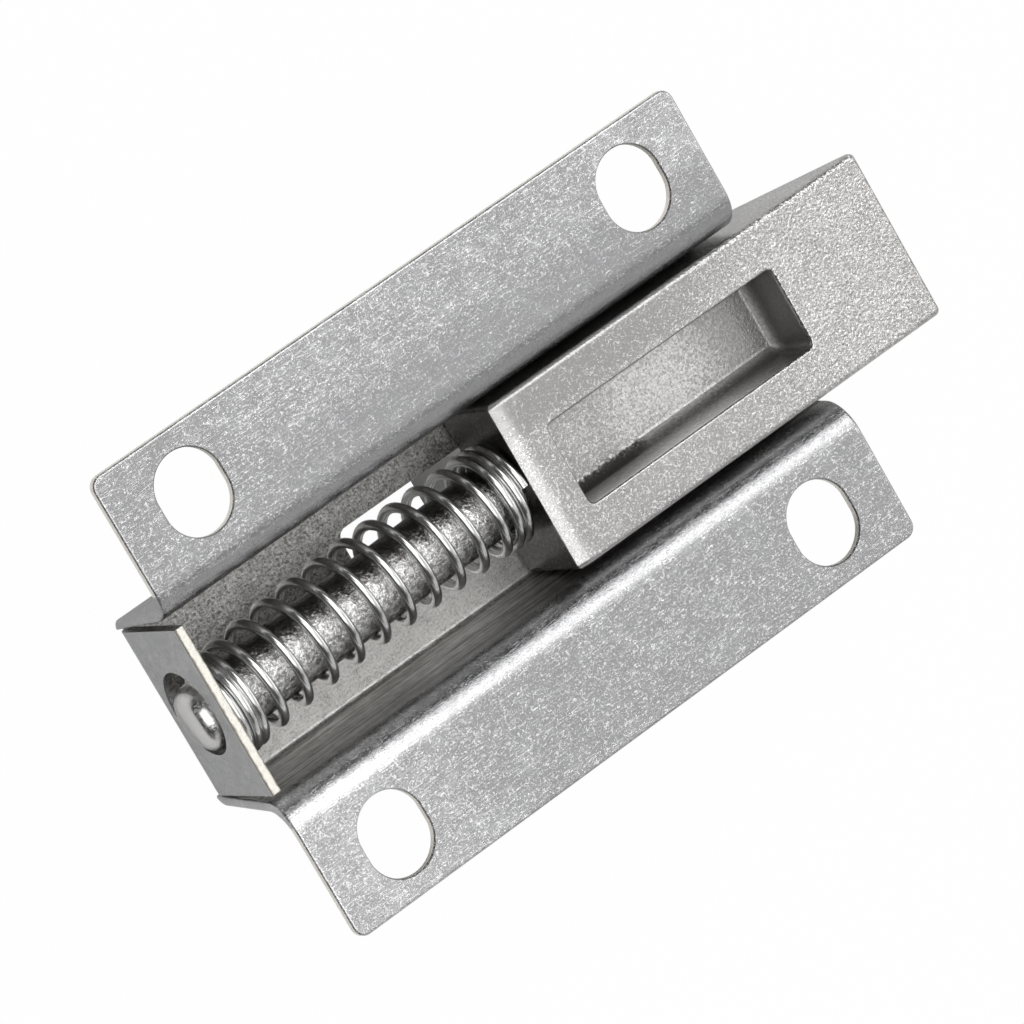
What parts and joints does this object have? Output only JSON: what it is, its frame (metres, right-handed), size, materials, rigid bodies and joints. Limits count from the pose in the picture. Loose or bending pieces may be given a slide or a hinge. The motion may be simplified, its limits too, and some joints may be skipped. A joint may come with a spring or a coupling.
{
  "type": "spring bolt",
  "caption": "Surface-mounted spring bolt: folded steel channel bracket with screw flanges, cast bolt with bevelled nose, guide rod and thumb piece, and a coil return spring.",
  "frame": {"origin": "centre of the four screw holes, on the mounting face of the flanges", "axes": "+X along the bolt towards its nose, +Z out of the mounting face towards the door it is screwed to"},
  "size_m": [0.0683, 0.0396, 0.022],
  "materials": {
    "sheet_steel": "tumbled stainless sheet, satin with fine random scratches",
    "cast_steel": "tumbled stainless casting with a fine grained skin",
    "spring_wire": "drawn spring wire, smooth and polished"
  },
  "bodies": {
    "bracket": {"bracket": "sheet_steel", "spring": "spring_wire"},
    "bolt": {"bolt": "cast_steel"}
  },
  "joints": [
    {"name": "bolt_slide", "type": "slide", "parent": "bracket", "child": "bolt", "axis": [1, 0, 0], "range_m": [-0.0116, 0], "stiffness_N_per_m": 360, "springref_m": 0.0062, "deforming": ["spring"]}
  ]
}
